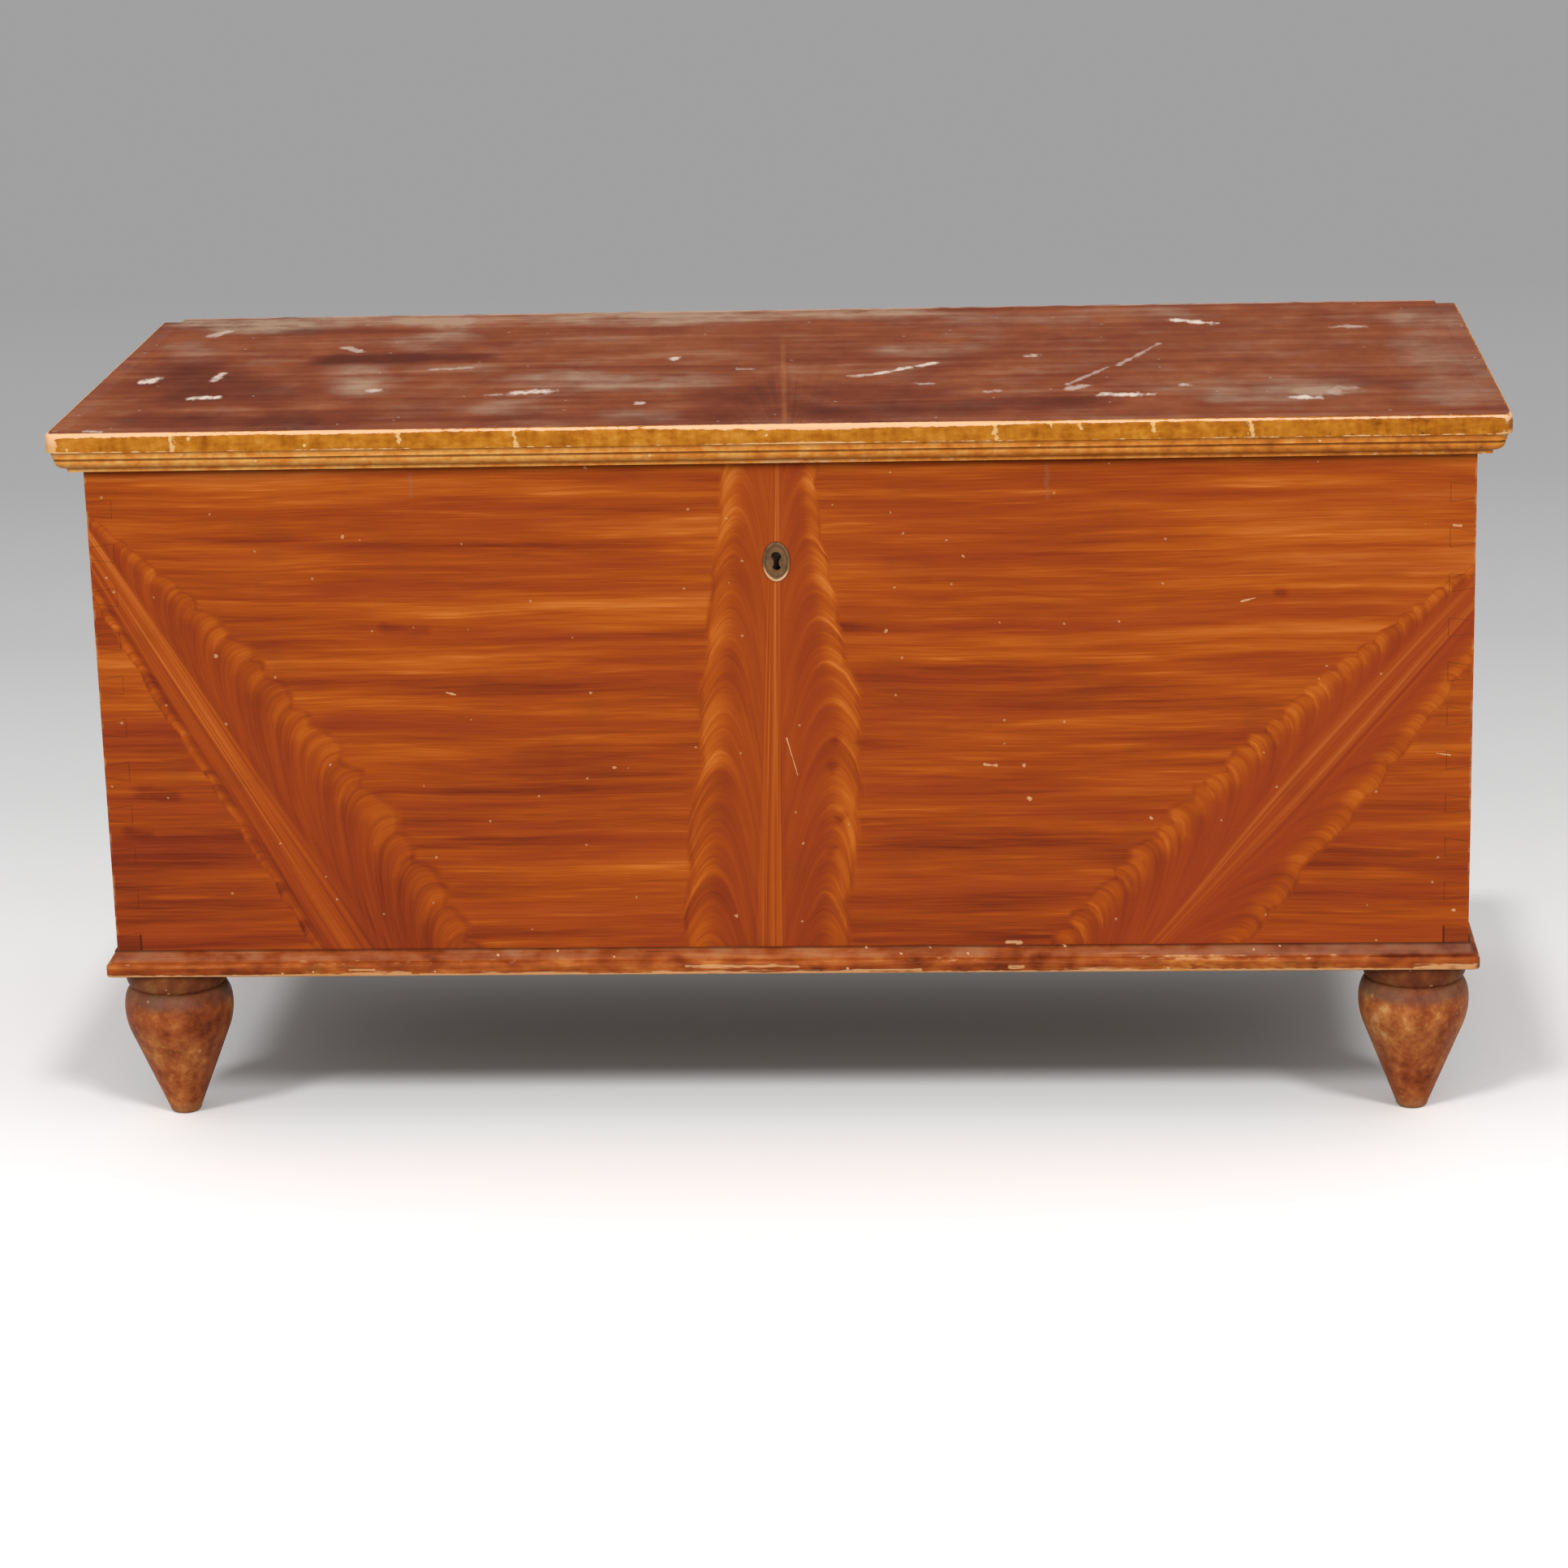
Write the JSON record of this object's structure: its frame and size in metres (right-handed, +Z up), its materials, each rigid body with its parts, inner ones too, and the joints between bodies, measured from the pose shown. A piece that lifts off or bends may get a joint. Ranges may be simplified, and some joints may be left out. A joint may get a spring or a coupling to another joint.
{
  "type": "blanket chest",
  "caption": "Grain-painted pine blanket chest with a hinged moulded lid, a dovetailed case with an open till, a chest lock and turned feet.",
  "frame": {"origin": "centre of the bounding box's bottom face, on the floor between the feet", "axes": "+X towards the right end as one faces the chest, +Y towards the back, +Z up; the keyhole faces -Y"},
  "size_m": [1.27, 0.561, 0.6511],
  "materials": {
    "grained_paint": "orange-brown paint grained with dark feathers and streaks, worn to a satin sheen",
    "lid_paint": "dark red-brown grained paint, rubbed and scuffed",
    "ochre_paint": "ochre paint, crackled and worn pale along the edges",
    "base_paint": "red-brown paint, dusty and worn",
    "foot_paint": "brown and orange sponged paint",
    "bare_pine": "unpainted aged pine",
    "iron": "dark aged iron",
    "brass": "dull tarnished brass"
  },
  "bodies": {
    "case": {"front_board": "grained_paint", "left_end_board": "grained_paint", "right_end_board": "grained_paint", "back_board": "bare_pine", "bottom_board_front": "bare_pine", "bottom_board_back": "bare_pine", "base_moulding_front": "base_paint", "base_moulding_left": "base_paint", "base_moulding_right": "base_paint", "foot_front_left": "foot_paint", "foot_front_right": "foot_paint", "foot_back_left": "foot_paint", "foot_back_right": "foot_paint", "foot_wedge_front_left": "bare_pine", "foot_wedge_front_right": "bare_pine", "foot_wedge_back_left": "bare_pine", "foot_wedge_back_right": "bare_pine", "till_side": "bare_pine", "till_bottom": "bare_pine", "lock_plate": "iron", "lock_cap": "iron", "lock_screw_upper_left": "iron", "lock_screw_upper_right": "iron", "lock_screw_lower_left": "iron", "lock_screw_lower_right": "iron", "escutcheon": "brass", "hinge_left_case_leaf": "iron", "hinge_left_pin": "iron", "hinge_left_case_screw_1": "iron", "hinge_left_case_screw_2": "iron", "hinge_left_case_screw_3": "iron", "hinge_right_case_leaf": "iron", "hinge_right_pin": "iron", "hinge_right_case_screw_1": "iron", "hinge_right_case_screw_2": "iron", "hinge_right_case_screw_3": "iron"},
    "lid": {"lid_board": "lid_paint", "lid_moulding_front": "ochre_paint", "lid_moulding_left": "ochre_paint", "lid_moulding_right": "ochre_paint", "hinge_left_lid_leaf": "iron", "hinge_left_lid_screw_1": "iron", "hinge_left_lid_screw_2": "iron", "hinge_left_lid_screw_3": "iron", "hinge_right_lid_leaf": "iron", "hinge_right_lid_screw_1": "iron", "hinge_right_lid_screw_2": "iron", "hinge_right_lid_screw_3": "iron", "strike_plate": "iron", "strike_staple": "iron", "strike_screw_left": "iron", "strike_screw_right": "iron"},
    "bolt": {"lock_bolt": "iron"}
  },
  "joints": [
    {"name": "lid_hinge", "type": "hinge", "parent": "case", "child": "lid", "pos_m": [0, 0.2663, 0.62885], "axis": [-1, 0, 0], "range_deg": [0, 105]},
    {"name": "bolt_throw", "type": "slide", "parent": "case", "child": "bolt", "axis": [1, 0, 0], "range_m": [0, 0.009]}
  ]
}
